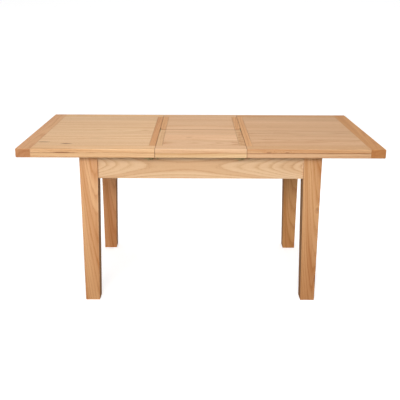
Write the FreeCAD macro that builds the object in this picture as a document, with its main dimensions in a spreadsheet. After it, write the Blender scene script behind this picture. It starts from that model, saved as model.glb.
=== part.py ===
import FreeCAD, Part
import math
import os
import Sketcher

# Extending oak table with a folding centre leaf, drawn with the leaf in place.
# Frame: origin on the floor under the middle of the table, +X along its length,
# +Y towards the back, +Z up. Millimetres.

DRIVING = [
    ("top_height", 780, "floor to the top surface"),
    ("top_length", 1690, "length with the leaf in place"),
    ("top_depth", 912, "front edge to back edge"),
    ("leaf_width", 419, "width of the centre leaf along the table"),
    ("board_thick", 18, "thickness of the top boards"),
    ("strip_thick", 23, "thickness of the strips under the long edges"),
    ("strip_width", 48, "width of the strips under the long edges"),
    ("rail_width", 75, "width of the long edge boards"),
    ("end_width", 69, "width of the end boards"),
    ("band_width", 30.5, "width of the cross bands beside the leaf joints"),
    ("leaf_gap", 1.0, "gap between the leaf and each top"),
    ("split_gap", 0.4, "half the gap between the two leaf halves"),
    ("outer_round", 3, "rounding of the outer arrises"),
    ("corner_round", 6, "rounding of the four plan corners"),
    ("seam_bevel", 0.7, "bevel along the joints of the boards"),
    ("line_bevel", 1.4, "bevel of the line between boards and strips"),
    ("joint_bevel", 1.2, "bevel of the arrises on each side of a leaf joint"),
    ("base_half_x", 567, "table middle to the outer face of a leg, along X"),
    ("base_half_y", 392, "table middle to the outer face of a leg, along Y"),
    ("base_top", 755, "floor to the top of the legs and aprons"),
    ("leg_size", 84, "leg width beside the aprons"),
    ("leg_foot", 69, "leg width at the floor"),
    ("apron_bottom", 622, "floor to the lower edge of the aprons"),
    ("apron_thick", 22, "apron thickness"),
    ("apron_setback", 12, "leg face to apron face"),
    ("tenon_long", 20, "length of the apron tenons"),
    ("tenon_thick", 10, "thickness of the apron tenons"),
    ("tenon_low", 640, "floor to the lower edge of a tenon"),
    ("tenon_high", 738, "floor to the upper edge of a tenon"),
    ("tenon_shoulder", 5, "sill of an end apron to the upper edge of its tenons"),
    ("notch_play", 1.8, "side clearance of a runner in the end apron notch"),
    ("block_reach", 76, "length of a corner block along an apron"),
    ("block_low", 642, "floor to the lower face of a corner block"),
    ("block_high", 715, "floor to the upper face of a corner block"),
    ("bolt_radius", 4, "corner bolt radius"),
    ("bolt_long", 78, "corner bolt length"),
    ("bolt_proud", 14, "corner bolt end to the block face"),
    ("nut_radius", 7.5, "corner nut, middle to corner"),
    ("nut_high", 6.5, "corner nut height"),
    ("bearer_in", 235, "table middle to the inner face of a cross bearer"),
    ("bearer_width", 30, "cross bearer width"),
    ("bearer_top", 722, "floor to the top of the cross bearers"),
    ("bearer_high", 70, "cross bearer height"),
    ("bearer_housing", 8, "depth of the housing in the apron"),
    ("slide_y", 272, "table middle to the middle of a slide rail"),
    ("slide_width", 22, "slide rail width"),
    ("slide_top", 758, "floor to the top of the slide rails"),
    ("tongue_low", 736, "floor to the underside of a slide tongue"),
    ("tongue_high", 8, "slide tongue height"),
    ("tongue_deep", 5, "slide tongue depth"),
    ("slide_play", 0.4, "clearance round the sliding runners"),
    ("runner_width", 19.6, "runner width"),
    ("runner_low", 723, "floor to the underside of the runners"),
    ("runner_out", 765, "table middle to the outer end of a runner"),
    ("runner_in", 60, "how far a runner reaches past the table middle"),
    ("runner_wall", 20, "closed end of a runner groove"),
    ("runner_relief", 0.5, "drop of the runner under the leaf"),
    ("stop_play", 0.5, "slide tongue to the closed end of a groove at full travel"),
    ("slide_travel", 30, "how far each top slides out to free the leaf"),
    ("hinge_drop", 5, "leaf hinge pin below the surface, and arris radius"),
    ("eye_radius", 4.2, "radius of the hinge eyes"),
    ("hinge_pin", 1.5, "hinge pin radius"),
    ("pin_play", 0.05, "running clearance round a pin"),
    ("strap_thick", 1.8, "thickness of the hinge straps and links"),
    ("strap_long", 46, "hinge strap length from the split line"),
    ("strap_deep", 4.2, "depth of the hinge recess in the leaf end"),
    ("recess_play", 0.4, "recess floor to the hinge strap"),
    ("link_play", 0.3, "gap between a strap and its link"),
    ("pin_inset", 0.1, "strap face to the inner end of a hinge pin"),
    ("stow_y", 114, "middle line to the pivot of the folded leaf"),
    ("stow_z", 737, "floor to the pivot of the folded leaf"),
    ("stow_pin", 4, "leaf pivot pin radius"),
    ("plate_thick", 2.5, "leaf pivot plate and bracket thickness"),
    ("plate_half", 28, "half the length of a leaf pivot plate"),
    ("plate_long", 36, "reach of a leaf pivot plate in from its ear"),
    ("plate_inset", 4.5, "leaf end to the inner face of a pivot plate's ear"),
    ("ear_radius", 10, "radius of the ears round the leaf pivot"),
    ("bracket_out", 11, "leaf end to the inner face of a pivot bracket"),
    ("bracket_half", 15, "half the length of a pivot bracket"),
    ("bracket_inset", 3, "bracket to the outer face of the bearer"),
    ("stow_inset", 6.5, "leaf end to the inner end of a pivot pin"),
    ("stow_head", 3, "height of a pivot pin's head, and its overhang"),
    ("head_play", 0.2, "bracket to the head of a pivot pin"),
    ("rest_y", 155, "middle line to the stowed leaf's rest block"),
    ("rest_top", 675.7, "floor to the top of a rest block"),
    ("rest_long", 43, "reach of a rest block in from the bearer"),
    ("rest_half", 15, "half the width of a rest block"),
    ("rest_high", 20, "height of a rest block"),
    ("lock_y", 431, "middle line to the locks"),
    ("lock_pivot", 16, "leaf joint to the lock pivot"),
    ("lock_throw", 28, "lock pivot to the keeper post"),
    ("lock_plate", 2, "lock plate thickness"),
    ("lock_plate_half", 8, "half the width of a lock plate"),
    ("lock_base_long", 21, "lock pivot to the outer end of its plate"),
    ("lock_base_short", 12, "lock pivot to the inner end of its plate"),
    ("keeper_half", 10, "half the length of a keeper plate"),
    ("lock_post", 4, "lock pivot post radius"),
    ("lock_head", 2, "overhang of the head of a lock pivot post"),
    ("lock_play", 0.3, "lever to the head of its post"),
    ("lock_drop", 12.6, "strip to the end of the lock pivot post"),
    ("lever_low", 9.3, "strip to the underside of a lock lever"),
    ("lever_thick", 3, "lock lever thickness"),
    ("lever_half", 6, "half the width of a lock lever"),
    ("lever_reach", 34, "lock pivot to the tip of a lever"),
    ("lever_boss", 8, "radius of a lever round its pivot"),
    ("lever_mouth", 40, "angle in degrees that the curved slot of a lever opens through"),
    ("knob_at", 15.5, "lock pivot to the thumb knob"),
    ("knob_radius", 4, "radius of the thumb knob on a lever"),
    ("knob_high", 8, "height of the thumb knob on a lever"),
    ("keeper_post", 3, "keeper post radius"),
    ("keeper_play", 0.5, "clearance of the lever slot round the keeper"),
    ("screw_radius", 2.2, "frame screw radius"),
    ("screw_head", 4.5, "frame screw head radius"),
    ("screw_long", 60, "frame screw length"),
    ("leg_round", 3, "rounding of the leg arrises"),
]


class Size:
    """A length together with the spreadsheet formula that gives it."""

    def __init__(self, value, text):
        self.value = value
        self.text = text

    def __add__(self, other):
        other = as_size(other)
        return Size(self.value + other.value, "(%s + %s)" % (self.text, other.text))

    def __sub__(self, other):
        other = as_size(other)
        return Size(self.value - other.value, "(%s - %s)" % (self.text, other.text))

    def __mul__(self, factor):
        return Size(self.value * factor, "(%s * %s)" % (self.text, factor))

    def __truediv__(self, factor):
        return Size(self.value / factor, "(%s / %s)" % (self.text, factor))

    def __radd__(self, other):
        return as_size(other) + self

    def __rsub__(self, other):
        return as_size(other) - self

    def __rmul__(self, factor):
        return self * factor

    def __neg__(self):
        return self * -1


class Sizes:
    """The driving dimensions by name."""


def as_size(number):
    if isinstance(number, Size):
        return number
    return Size(float(number), "(%s)" % float(number))


doc = FreeCAD.newDocument("extending_table")
sheet = doc.addObject("Spreadsheet::Sheet", "Sheet")
s = Sizes()
for row, (alias, amount, note) in enumerate(DRIVING, start=1):
    sheet.set("A%d" % row, note)
    sheet.set("B%d" % row, str(amount))
    sheet.setAlias("B%d" % row, alias)
    setattr(s, alias, Size(float(amount), "Sheet.%s" % alias))
doc.recompute()

nodes = []


# ---------------------------------------------------------------- helpers

def bind(item, name, length):
    item.setExpression(name, as_size(length).text)


def place(item, corner, turn=0.0, axis=(0, 0, 1)):
    """Put an object at a corner given in sheet sizes, turned about an axis through it."""
    values = [as_size(part).value for part in corner]
    spin = FreeCAD.Rotation(FreeCAD.Vector(*axis), turn)
    item.Placement = FreeCAD.Placement(FreeCAD.Vector(*values), spin)
    for name, part in zip("xyz", corner):
        bind(item, "Placement.Base.%s" % name, part)


def new_body(label, corner, turn=0.0, keep=True):
    body = doc.addObject("PartDesign::Body", "body_%s" % label)
    body.Label = label
    place(body, corner, turn)
    if keep:
        nodes.append(body)
    return body


def outline(body, plane, points):
    """A closed sketch through points given in sheet sizes, fully constrained."""
    sketch = body.newObject("Sketcher::SketchObject", "%s_outline" % body.Name)
    origin = [item for item in body.Origin.OriginFeatures if item.Role == plane][0]
    sketch.AttachmentSupport = [(origin, "")]
    sketch.MapMode = "FlatFace"
    count = len(points)
    spots = [FreeCAD.Vector(as_size(u).value, as_size(v).value, 0) for u, v in points]
    for index in range(count):
        sketch.addGeometry(Part.LineSegment(spots[index], spots[(index + 1) % count]))
    for index in range(count):
        sketch.addConstraint(Sketcher.Constraint("Coincident", index, 2, (index + 1) % count, 1))
    for index, (u, v) in enumerate(points):
        for kind, part, zero_line in (("DistanceX", u, -2), ("DistanceY", v, -1)):
            length = as_size(part)
            if length.value == 0:
                sketch.addConstraint(Sketcher.Constraint("PointOnObject", index, 1, zero_line))
                continue
            number = sketch.addConstraint(Sketcher.Constraint(kind, -1, 1, index, 1, length.value))
            sketch.setExpression("Constraints[%d]" % number, length.text)
    return sketch


def extrude(body, plane, points, length):
    """A pad towards +Z, +Y or +X from the XY, XZ or YZ plane."""
    pad = body.newObject("PartDesign::Pad", "%s_pad" % body.Name)
    pad.Profile = outline(body, plane, points)
    bind(pad, "Length", length)
    pad.Reversed = plane == "XZ_Plane"
    doc.recompute()
    body.Tip = pad
    return pad


def add_block(body, low, high):
    return block_feature(body, "PartDesign::AdditiveBox", low, high)


def cut_block(body, low, high):
    return block_feature(body, "PartDesign::SubtractiveBox", low, high)


def block_feature(body, kind, low, high):
    """A box added to or cut from a body, in the body's own frame."""
    feature = body.newObject(kind, "%s_block" % body.Name)
    for name, start, end in zip(("Length", "Width", "Height"), low, high):
        bind(feature, name, as_size(end) - start)
    place(feature, low)
    doc.recompute()
    body.Tip = feature
    return feature


def cut_hole(body, start, radius, length, axis=(0, 0, 1), turn=0.0):
    """A round hole cut in a body: its axis is +Z turned about an axis at the start point."""
    feature = body.newObject("PartDesign::SubtractiveCylinder", "%s_hole" % body.Name)
    bind(feature, "Radius", radius)
    bind(feature, "Height", length)
    place(feature, start, turn, axis)
    doc.recompute()
    body.Tip = feature
    return feature


def on_side(box, point, side):
    """True when a point lies on the named side of a box, such as z+ or x-."""
    axis = "xyz".index(side[0])
    low = (box.XMin, box.YMin, box.ZMin)[axis]
    high = (box.XMax, box.YMax, box.ZMax)[axis]
    target = high if side[1] == "+" else low
    return abs(point[axis] - target) < 1e-6


def ease(body, size, pairs, kind="Fillet"):
    """Round or bevel the straight edges where each pair of sides meets."""
    tip = body.Tip
    box = tip.Shape.BoundBox
    names = []
    for number, edge in enumerate(tip.Shape.Edges, start=1):
        ends = [tuple(vertex.Point) for vertex in edge.Vertexes]
        for pair in pairs:
            if all(on_side(box, point, side) for point in ends for side in pair.split()):
                names.append("Edge%d" % number)
    feature = body.newObject("PartDesign::%s" % kind, "%s_%s" % (body.Name, kind.lower()))
    feature.Base = (tip, names)
    bind(feature, "Radius" if kind == "Fillet" else "Size", size)
    doc.recompute()
    body.Tip = feature


def board(label, low, high, keep=True):
    """A plain rectangular piece between two corners."""
    body = new_body(label, low, keep=keep)
    wide, deep, high_by = (as_size(b) - a for a, b in zip(low, high))
    extrude(body, "XY_Plane", [(0, 0), (wide, 0), (wide, deep), (0, deep)], high_by)
    return body


def cylinder(name, start, radius, length, axis=(0, 0, 1), turn=0.0):
    """A round bar from a start point, along +Z turned about an axis there."""
    bar = doc.addObject("Part::Cylinder", name)
    bind(bar, "Radius", radius)
    bind(bar, "Height", length)
    place(bar, start, turn, axis)
    return bar


def box(name, low, high):
    block = doc.addObject("Part::Box", name)
    for side, start, end in zip(("Length", "Width", "Height"), low, high):
        bind(block, side, as_size(end) - start)
    place(block, low)
    return block


def fuse(name, pieces):
    joined = doc.addObject("Part::MultiFuse", name)
    joined.Shapes = pieces
    return joined


def cut(name, base, tool):
    result = doc.addObject("Part::Cut", name)
    result.Base = base
    result.Tool = tool
    return result


def gather(label, pieces):
    """One node that holds several like solids, or a single finished one."""
    group = doc.addObject("Part::Compound", "group_%s" % label)
    group.Links = pieces
    group.Label = label
    nodes.append(group)
    return group


def mirrored(side, near, far):
    """The low and high X of a stretch on the left (-1) or right (+1) of the middle."""
    if side > 0:
        return near, far
    return -far, -near


# Turn that lays a bar along +X, and how far a cutting tool reaches past a face so that no skin is left.
ALONG_X = dict(axis=(0, 1, 0), turn=90.0)
OVERCUT = 1.0
ONE_DIAGONAL = math.sqrt(0.5)
ALONG_DIAGONAL = dict(axis=(-1, 1, 0), turn=90.0)

# ---------------------------------------------------------------- levels and lines

underside = s.top_height - s.board_thick
strip_under = underside - s.strip_thick
half_depth = s.top_depth / 2
half_length = s.top_length / 2
leaf_half = s.leaf_width / 2
top_inner = leaf_half + s.leaf_gap
end_inner = half_length - s.end_width
rail_inner = half_depth - s.rail_width
strip_inner = half_depth - s.strip_width
pin_y = s.hinge_drop + s.split_gap
pin_z = s.top_height - s.hinge_drop


# ---------------------------------------------------------------- legs and aprons

def leg(label, corner_x, corner_y, turn):
    """A leg, square beside the aprons and tapered on its two inner faces below them."""
    body = new_body(label, (corner_x, corner_y, 0), turn)
    square = [(0, 0), (s.leg_size, 0), (s.leg_size, s.leg_size), (0, s.leg_size)]
    small = [(0, 0), (s.leg_foot, 0), (s.leg_foot, s.leg_foot), (0, s.leg_foot)]
    foot = outline(body, "XY_Plane", small)
    shoulder = outline(body, "XY_Plane", square)
    bind(shoulder, "AttachmentOffset.Base.z", s.apron_bottom)
    taper = body.newObject("PartDesign::AdditiveLoft", "%s_taper" % body.Name)
    taper.Profile = foot
    taper.Sections = [shoulder]
    taper.Ruled = True
    doc.recompute()
    body.Tip = taper
    add_block(body, (0, 0, s.apron_bottom), (s.leg_size, s.leg_size, s.base_top))
    ease(body, s.leg_round, ["x- y-"])
    tenon_in = s.apron_setback + (s.apron_thick - s.tenon_thick) / 2
    tenon_out = tenon_in + s.tenon_thick
    tip_at = s.leg_size - s.tenon_long
    beyond = s.leg_size + OVERCUT
    cut_block(body, (tip_at, tenon_in, s.tenon_low), (beyond, tenon_out, s.tenon_high))
    cut_block(body, (tenon_in, tip_at, s.tenon_low), (tenon_out, beyond, s.tenon_high))
    cut_hole(body, bolt_spot(bolt_start()), s.bolt_radius, s.bolt_long, **ALONG_DIAGONAL)
    return body


def block_face():
    """Distance from both outer leg faces to the middle of a corner block's long face."""
    return (s.apron_setback + s.apron_thick + s.leg_size + s.block_reach) / 2


def bolt_start():
    """Distance from both outer leg faces to the buried end of a corner bolt."""
    return block_face() - (s.bolt_long - s.bolt_proud) * ONE_DIAGONAL


def bolt_spot(along):
    """A point on a corner bolt's line, in the leg's own frame."""
    return (along, along, (s.block_low + s.block_high) / 2)


legs = (
    ("leg_front_left", -1, -1, 0.0),
    ("leg_front_right", 1, -1, 90.0),
    ("leg_back_right", 1, 1, 180.0),
    ("leg_back_left", -1, 1, 270.0),
)
for name, side_x, side_y, angle in legs:
    leg(name, s.base_half_x * side_x, s.base_half_y * side_y, angle)


def long_apron(label, side):
    """The front or back apron with its tenons and the housings for the cross bearers."""
    reach = s.base_half_x - s.leg_size
    outer = s.base_half_y - s.apron_setback
    inner = outer - s.apron_thick
    low_y, high_y = mirrored(side, inner, outer)
    body = board(label, (-reach, low_y, s.apron_bottom), (reach, high_y, s.base_top))
    ease(body, s.seam_bevel, ["z- y-", "z- y+"], "Chamfer")
    tenon_y = (s.apron_thick - s.tenon_thick) / 2
    low_z = s.tenon_low - s.apron_bottom
    high_z = s.tenon_high - s.apron_bottom
    for near, far in ((-s.tenon_long, as_size(0)), (reach * 2, reach * 2 + s.tenon_long)):
        add_block(body, (near, tenon_y, low_z), (far, tenon_y + s.tenon_thick, high_z))
    bearer_low = s.bearer_top - s.bearer_high - s.apron_bottom
    bearer_high = s.bearer_top - s.apron_bottom
    near_y = as_size(0) if side > 0 else s.apron_thick - s.bearer_housing
    for along in (reach - s.bearer_in - s.bearer_width, reach + s.bearer_in):
        cut_block(body, (along, near_y, bearer_low),
                  (along + s.bearer_width, near_y + s.bearer_housing, bearer_high))
    return body


def end_apron(label, side):
    """An end apron, notched at the top for the slide rails and the runners beside them."""
    outer = s.base_half_x - s.apron_setback
    low_x, _ = mirrored(side, outer - s.apron_thick, outer)
    reach = s.base_half_y - s.leg_size
    tall = s.base_top - s.apron_bottom
    notch = s.slide_width / 2 + s.runner_width + s.notch_play
    sill = s.bearer_top - s.apron_bottom
    body = new_body(label, (low_x, -reach, s.apron_bottom))
    middle_front = reach - s.slide_y
    middle_back = reach + s.slide_y
    points = [(0, 0), (reach * 2, 0), (reach * 2, sill)]
    points += [(middle_back - notch, sill), (middle_back - notch, tall)]
    points += [(middle_front + notch, tall), (middle_front + notch, sill), (0, sill)]
    extrude(body, "YZ_Plane", points, s.apron_thick)
    tenon_x = (s.apron_thick - s.tenon_thick) / 2
    low_z = s.tenon_low - s.apron_bottom
    tenon_top = sill - s.tenon_shoulder
    for near, far in ((-s.tenon_long, as_size(0)), (reach * 2, reach * 2 + s.tenon_long)):
        add_block(body, (tenon_x, near, low_z), (tenon_x + s.tenon_thick, far, tenon_top))
    return body


long_apron("front_apron", -1)
long_apron("back_apron", 1)
end_apron("left_apron", -1)
end_apron("right_apron", 1)


# ---------------------------------------------------------------- corner blocks and bolts

def corner_frame(name, side_x, side_y, turn):
    """A body at the outer corner of a leg, like the leg itself."""
    return new_body(name, (s.base_half_x * side_x, s.base_half_y * side_y, 0), turn, keep=False)


def corner_block(name, side_x, side_y, turn):
    """A glue block behind a leg, cut out round the leg's inner corner."""
    near = s.apron_setback + s.apron_thick
    far = s.leg_size + s.block_reach
    points = [(s.leg_size, near), (far, near), (near, far), (near, s.leg_size), (s.leg_size, s.leg_size)]
    body = corner_frame("corner_block_%s" % name, side_x, side_y, turn)
    lift = extrude(body, "XY_Plane", points, s.block_high - s.block_low)
    bind(lift.Profile[0], "AttachmentOffset.Base.z", s.block_low)
    cut_hole(body, bolt_spot(bolt_start()), s.bolt_radius, s.bolt_long, **ALONG_DIAGONAL)
    return body


def corner_bolt(name, side_x, side_y, turn):
    """A hanger bolt on the diagonal, from inside the leg to past the block."""
    body = corner_frame("corner_bolt_%s" % name, side_x, side_y, turn)
    bolt = body.newObject("PartDesign::AdditiveCylinder", "bolt_%s" % name)
    bind(bolt, "Radius", s.bolt_radius)
    bind(bolt, "Height", s.bolt_long)
    place(bolt, bolt_spot(bolt_start()), **ALONG_DIAGONAL)
    doc.recompute()
    return body


def corner_nut(name, side_x, side_y, turn):
    """A hexagon nut on the bolt, against the face of the corner block."""
    body = corner_frame("corner_nut_%s" % name, side_x, side_y, turn)
    nut = body.newObject("PartDesign::AdditivePrism", "nut_%s" % name)
    nut.Polygon = 6
    bind(nut, "Circumradius", s.nut_radius)
    bind(nut, "Height", s.nut_high)
    place(nut, bolt_spot(block_face()), **ALONG_DIAGONAL)
    doc.recompute()
    cut_hole(body, bolt_spot(block_face()), s.bolt_radius, s.nut_high, **ALONG_DIAGONAL)
    return body


gather("corner_blocks", [corner_block(*item) for item in legs])
gather("corner_bolts", [corner_bolt(*item) for item in legs])
gather("corner_nuts", [corner_nut(*item) for item in legs])


# ---------------------------------------------------------------- bearers and slide rails

def bearer(name, side):
    """A cross bearer that carries the slide rails and the leaf pivot."""
    reach = s.base_half_y - s.apron_setback - s.apron_thick + s.bearer_housing
    low_x, high_x = mirrored(side, s.bearer_in, s.bearer_in + s.bearer_width)
    bottom = s.bearer_top - s.bearer_high
    body = board(name, (low_x, -reach, bottom), (high_x, reach, s.bearer_top), keep=False)
    deep = s.screw_long - (s.slide_top - s.bearer_top)
    for across in (reach - s.slide_y, reach + s.slide_y):
        cut_hole(body, (s.bearer_width / 2, across, s.bearer_high - deep), s.screw_radius, deep)
    return body


def slide_rail(label, side):
    """A fixed rail with a tongue on each face: inner for the left runner, outer for the right."""
    half = s.base_half_x - s.apron_setback
    middle = s.slide_y * side
    low_y = middle - s.slide_width / 2
    body = board(label, (-half, low_y, s.bearer_top), (half, low_y + s.slide_width, s.slide_top))
    stop = s.runner_in - s.runner_wall - s.slide_travel - s.stop_play
    low_z = s.tongue_low - s.bearer_top
    high_z = low_z + s.tongue_high
    far_face = s.slide_width + s.tongue_deep
    inner = (as_size(0), half + stop)
    outer = (half - stop, half * 2)
    low_side, high_side = (inner, outer) if side > 0 else (outer, inner)
    add_block(body, (low_side[0], -s.tongue_deep, low_z), (low_side[1], as_size(0), high_z))
    add_block(body, (high_side[0], s.slide_width, low_z), (high_side[1], far_face, high_z))
    drilled = s.slide_top - s.bearer_top
    for along in (half - screw_x(), half + screw_x()):
        cut_hole(body, (along, s.slide_width / 2, 0), s.screw_radius, drilled)
        sunk = (along, s.slide_width / 2, drilled - s.screw_radius)
        cut_hole(body, sunk, s.screw_head, s.screw_radius)
    return body


def screw_x():
    """Table middle to the frame screws, along X."""
    return s.bearer_in + s.bearer_width / 2


def frame_screw(number, along, across):
    """A screw down through a slide rail into a cross bearer."""
    start = s.slide_top - s.screw_long
    head_z = s.slide_top - s.screw_radius
    tag = "screw_%d" % number
    shank = cylinder(tag + "_shank", (along, across, start), s.screw_radius, s.screw_long)
    head = cylinder(tag + "_head", (along, across, head_z), s.screw_head, s.screw_radius)
    return fuse("frame_screw_%d" % number, [shank, head])


gather("cross_bearers", [bearer("left_bearer", -1), bearer("right_bearer", 1)])
slide_rail("front_slide_rail", -1)
slide_rail("back_slide_rail", 1)
spots = [(screw_x() * side_x, s.slide_y * side_y) for side_x in (-1, 1) for side_y in (-1, 1)]
gather("frame_screws", [frame_screw(number, *spot) for number, spot in enumerate(spots)])


# ---------------------------------------------------------------- tops

def bevel_joint(body, faces, outside=None):
    """Bevel the arrises at a leaf joint: along the top, and down the outside if one is named."""
    pairs = ["z+ %s" % face for face in faces]
    if outside:
        pairs = pairs + ["%s %s" % (outside, face) for face in faces]
    ease(body, s.joint_bevel, pairs, "Chamfer")


def end_board(label, side):
    """A full-depth end board, as thick as the boards and strips together."""
    low_x, high_x = mirrored(side, end_inner, half_length)
    body = board(label, (low_x, -half_depth, strip_under), (high_x, half_depth, s.top_height))
    outside = "x+" if side > 0 else "x-"
    inside = "x-" if side > 0 else "x+"
    ease(body, s.corner_round, ["%s y-" % outside, "%s y+" % outside])
    ease(body, s.outer_round, ["z+ %s" % outside, "z- %s" % outside])
    ease(body, s.seam_bevel, ["z+ %s" % inside], "Chamfer")
    return body


def edge_board(label, low_x, high_x, side, joints_at):
    """A long edge board: rounded outside, bevelled along its joints and its lower line."""
    low_y, high_y = mirrored(side, rail_inner, half_depth)
    body = board(label, (low_x, low_y, underside), (high_x, high_y, s.top_height))
    outside = "y+" if side > 0 else "y-"
    inside = "y-" if side > 0 else "y+"
    ease(body, s.outer_round, ["z+ %s" % outside])
    ease(body, s.line_bevel, ["z- %s" % outside], "Chamfer")
    ease(body, s.seam_bevel, ["z+ %s" % inside], "Chamfer")
    bevel_joint(body, joints_at, outside)
    return body


def edge_strip(label, low_x, high_x, side, joints_at):
    """The strip under a long edge board that makes the edge look thick."""
    low_y, high_y = mirrored(side, strip_inner, half_depth)
    body = board(label, (low_x, low_y, strip_under), (high_x, high_y, underside))
    outside = "y+" if side > 0 else "y-"
    ease(body, s.line_bevel, ["z+ %s" % outside], "Chamfer")
    ease(body, s.outer_round, ["z- %s" % outside])
    ease(body, s.joint_bevel, ["%s %s" % (outside, face) for face in joints_at], "Chamfer")
    return body


def runner(side, end):
    """A runner under a top: grooved for the slide rail's tongue, with a blind inner end."""
    inner_face = s.slide_y - s.slide_width / 2 - s.slide_play
    outer_face = s.slide_y + s.slide_width / 2 + s.slide_play
    near = inner_face - s.runner_width if side < 0 else outer_face
    far = near + s.runner_width
    low_y, high_y = mirrored(end, near, far)
    low_x, high_x = mirrored(side, -s.runner_in, s.runner_out)
    name = "%s_top_%s_runner" % ("left" if side < 0 else "right", "front" if end < 0 else "back")
    body = board(name, (low_x, low_y, s.runner_low), (high_x, high_y, underside))
    long = s.runner_in + s.runner_out
    under_leaf = s.runner_in + top_inner
    groove_deep = s.tongue_deep + s.slide_play / 2
    low_z = s.tongue_low - s.slide_play - s.runner_low
    high_z = low_z + s.tongue_high + s.slide_play * 2
    before = as_size(-OVERCUT)
    past = long + OVERCUT
    beside = s.runner_width + OVERCUT
    groove_x = (before, long - s.runner_wall) if side < 0 else (s.runner_wall, past)
    relief_x = (long - under_leaf, past) if side < 0 else (before, under_leaf)
    groove_high = (side < 0) == (end > 0)
    groove_y = (s.runner_width - groove_deep, beside) if groove_high else (before, groove_deep)
    cut_block(body, (groove_x[0], groove_y[0], low_z), (groove_x[1], groove_y[1], high_z))
    tall = underside - s.runner_low
    low = (relief_x[0], before, tall - s.runner_relief)
    cut_block(body, low, (relief_x[1], beside, tall + OVERCUT))
    return body


def top_half(name, side):
    """One sliding half of the top with its runners."""
    low_x, high_x = mirrored(side, top_inner, end_inner)
    band_x = mirrored(side, top_inner, top_inner + s.band_width)
    panel_x = mirrored(side, top_inner + s.band_width, end_inner)
    joint_face, band_face = ("x-", "x+") if side > 0 else ("x+", "x-")
    low = (panel_x[0], -rail_inner, underside)
    panel = board("%s_panel" % name, low, (panel_x[1], rail_inner, s.top_height))
    ease(panel, s.seam_bevel, ["z+ x-", "z+ x+", "z+ y-", "z+ y+"], "Chamfer")
    low = (band_x[0], -rail_inner, underside)
    band = board("%s_inner_band" % name, low, (band_x[1], rail_inner, s.top_height))
    ease(band, s.seam_bevel, ["z+ y-", "z+ y+", "z+ %s" % band_face], "Chamfer")
    bevel_joint(band, [joint_face])
    end_board("%s_end_board" % name, side)
    for end_name, end in (("front", -1), ("back", 1)):
        edge_board("%s_%s_rail" % (name, end_name), low_x, high_x, end, [joint_face])
        edge_strip("%s_%s_strip" % (name, end_name), low_x, high_x, end, [joint_face])
        runner(side, end)


top_half("left_top", -1)
top_half("right_top", 1)


# ---------------------------------------------------------------- leaf halves

def leaf_half_boards(name, side):
    """The panel, edge board, strip and end bands of the front or back leaf half."""
    near, far = mirrored(side, s.split_gap, rail_inner)
    split = "y-" if side > 0 else "y+"
    rail_side = "y+" if side > 0 else "y-"
    in_x = leaf_half - s.band_width
    panel = board("%s_panel" % name, (-in_x, near, underside), (in_x, far, s.top_height))
    ease(panel, s.hinge_drop, ["z+ %s" % split])
    ease(panel, s.seam_bevel, ["z+ %s" % rail_side], "Chamfer")
    for band_name, across in (("left", -1), ("right", 1)):
        low_x, high_x = mirrored(across, in_x, leaf_half)
        low = (low_x, near, underside)
        band = board("%s_%s_band" % (name, band_name), low, (high_x, far, s.top_height))
        ease(band, s.hinge_drop, ["z+ %s" % split])
        ease(band, s.seam_bevel, ["z+ %s" % rail_side], "Chamfer")
        bevel_joint(band, ["x+" if across > 0 else "x-"])
        strap_recess(band, side, across)
    edge_board("%s_rail" % name, -leaf_half, leaf_half, side, ["x-", "x+"])
    edge_strip("%s_strip" % name, -leaf_half, leaf_half, side, ["x-", "x+"])


def strap_recess(band, side, across):
    """The recess in a band's end for the hinge strap, open to the end, the top and the split."""
    deep = rail_inner - s.split_gap
    before = as_size(-OVERCUT)
    beyond = s.band_width + OVERCUT
    low_x, high_x = (s.band_width - s.strap_deep, beyond) if across > 0 else (before, s.strap_deep)
    low_y, high_y = (before, s.strap_long) if side > 0 else (deep - s.strap_long, deep + OVERCUT)
    floor = s.board_thick - s.hinge_drop - s.eye_radius - s.recess_play
    cut_block(band, (low_x, low_y, floor), (high_x, high_y, s.board_thick + OVERCUT))


leaf_half_boards("back_leaf", 1)
leaf_half_boards("front_leaf", -1)


# ---------------------------------------------------------------- leaf hinges

def drill(name, start, pin_radius, thick):
    """A tool along X that bores a plate for a pin, with running clearance."""
    begin = (start[0] - OVERCUT, start[1], start[2])
    return cylinder(name, begin, pin_radius + s.pin_play, thick + OVERCUT * 2, **ALONG_X)


def strap(side, across):
    """A strap let into the leaf's end, with an eye round the hinge pin."""
    tag = "%s_%s" % ("back" if side > 0 else "front", "right" if across > 0 else "left")
    low_x, high_x = mirrored(across, leaf_half - s.strap_deep, leaf_half - s.strap_deep + s.strap_thick)
    near, far = mirrored(side, pin_y, s.strap_long)
    low = (low_x, near, pin_z - s.eye_radius)
    bar = box("strap_bar_" + tag, low, (high_x, far, pin_z + s.eye_radius))
    middle = pin_y * side
    start = (low_x, middle, pin_z)
    eye = cylinder("strap_eye_" + tag, start, s.eye_radius, s.strap_thick, **ALONG_X)
    bore = drill("strap_bore_" + tag, (low_x, middle, pin_z), s.hinge_pin, s.strap_thick)
    return cut("strap_" + tag, fuse("strap_solid_" + tag, [bar, eye]), bore)


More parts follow.
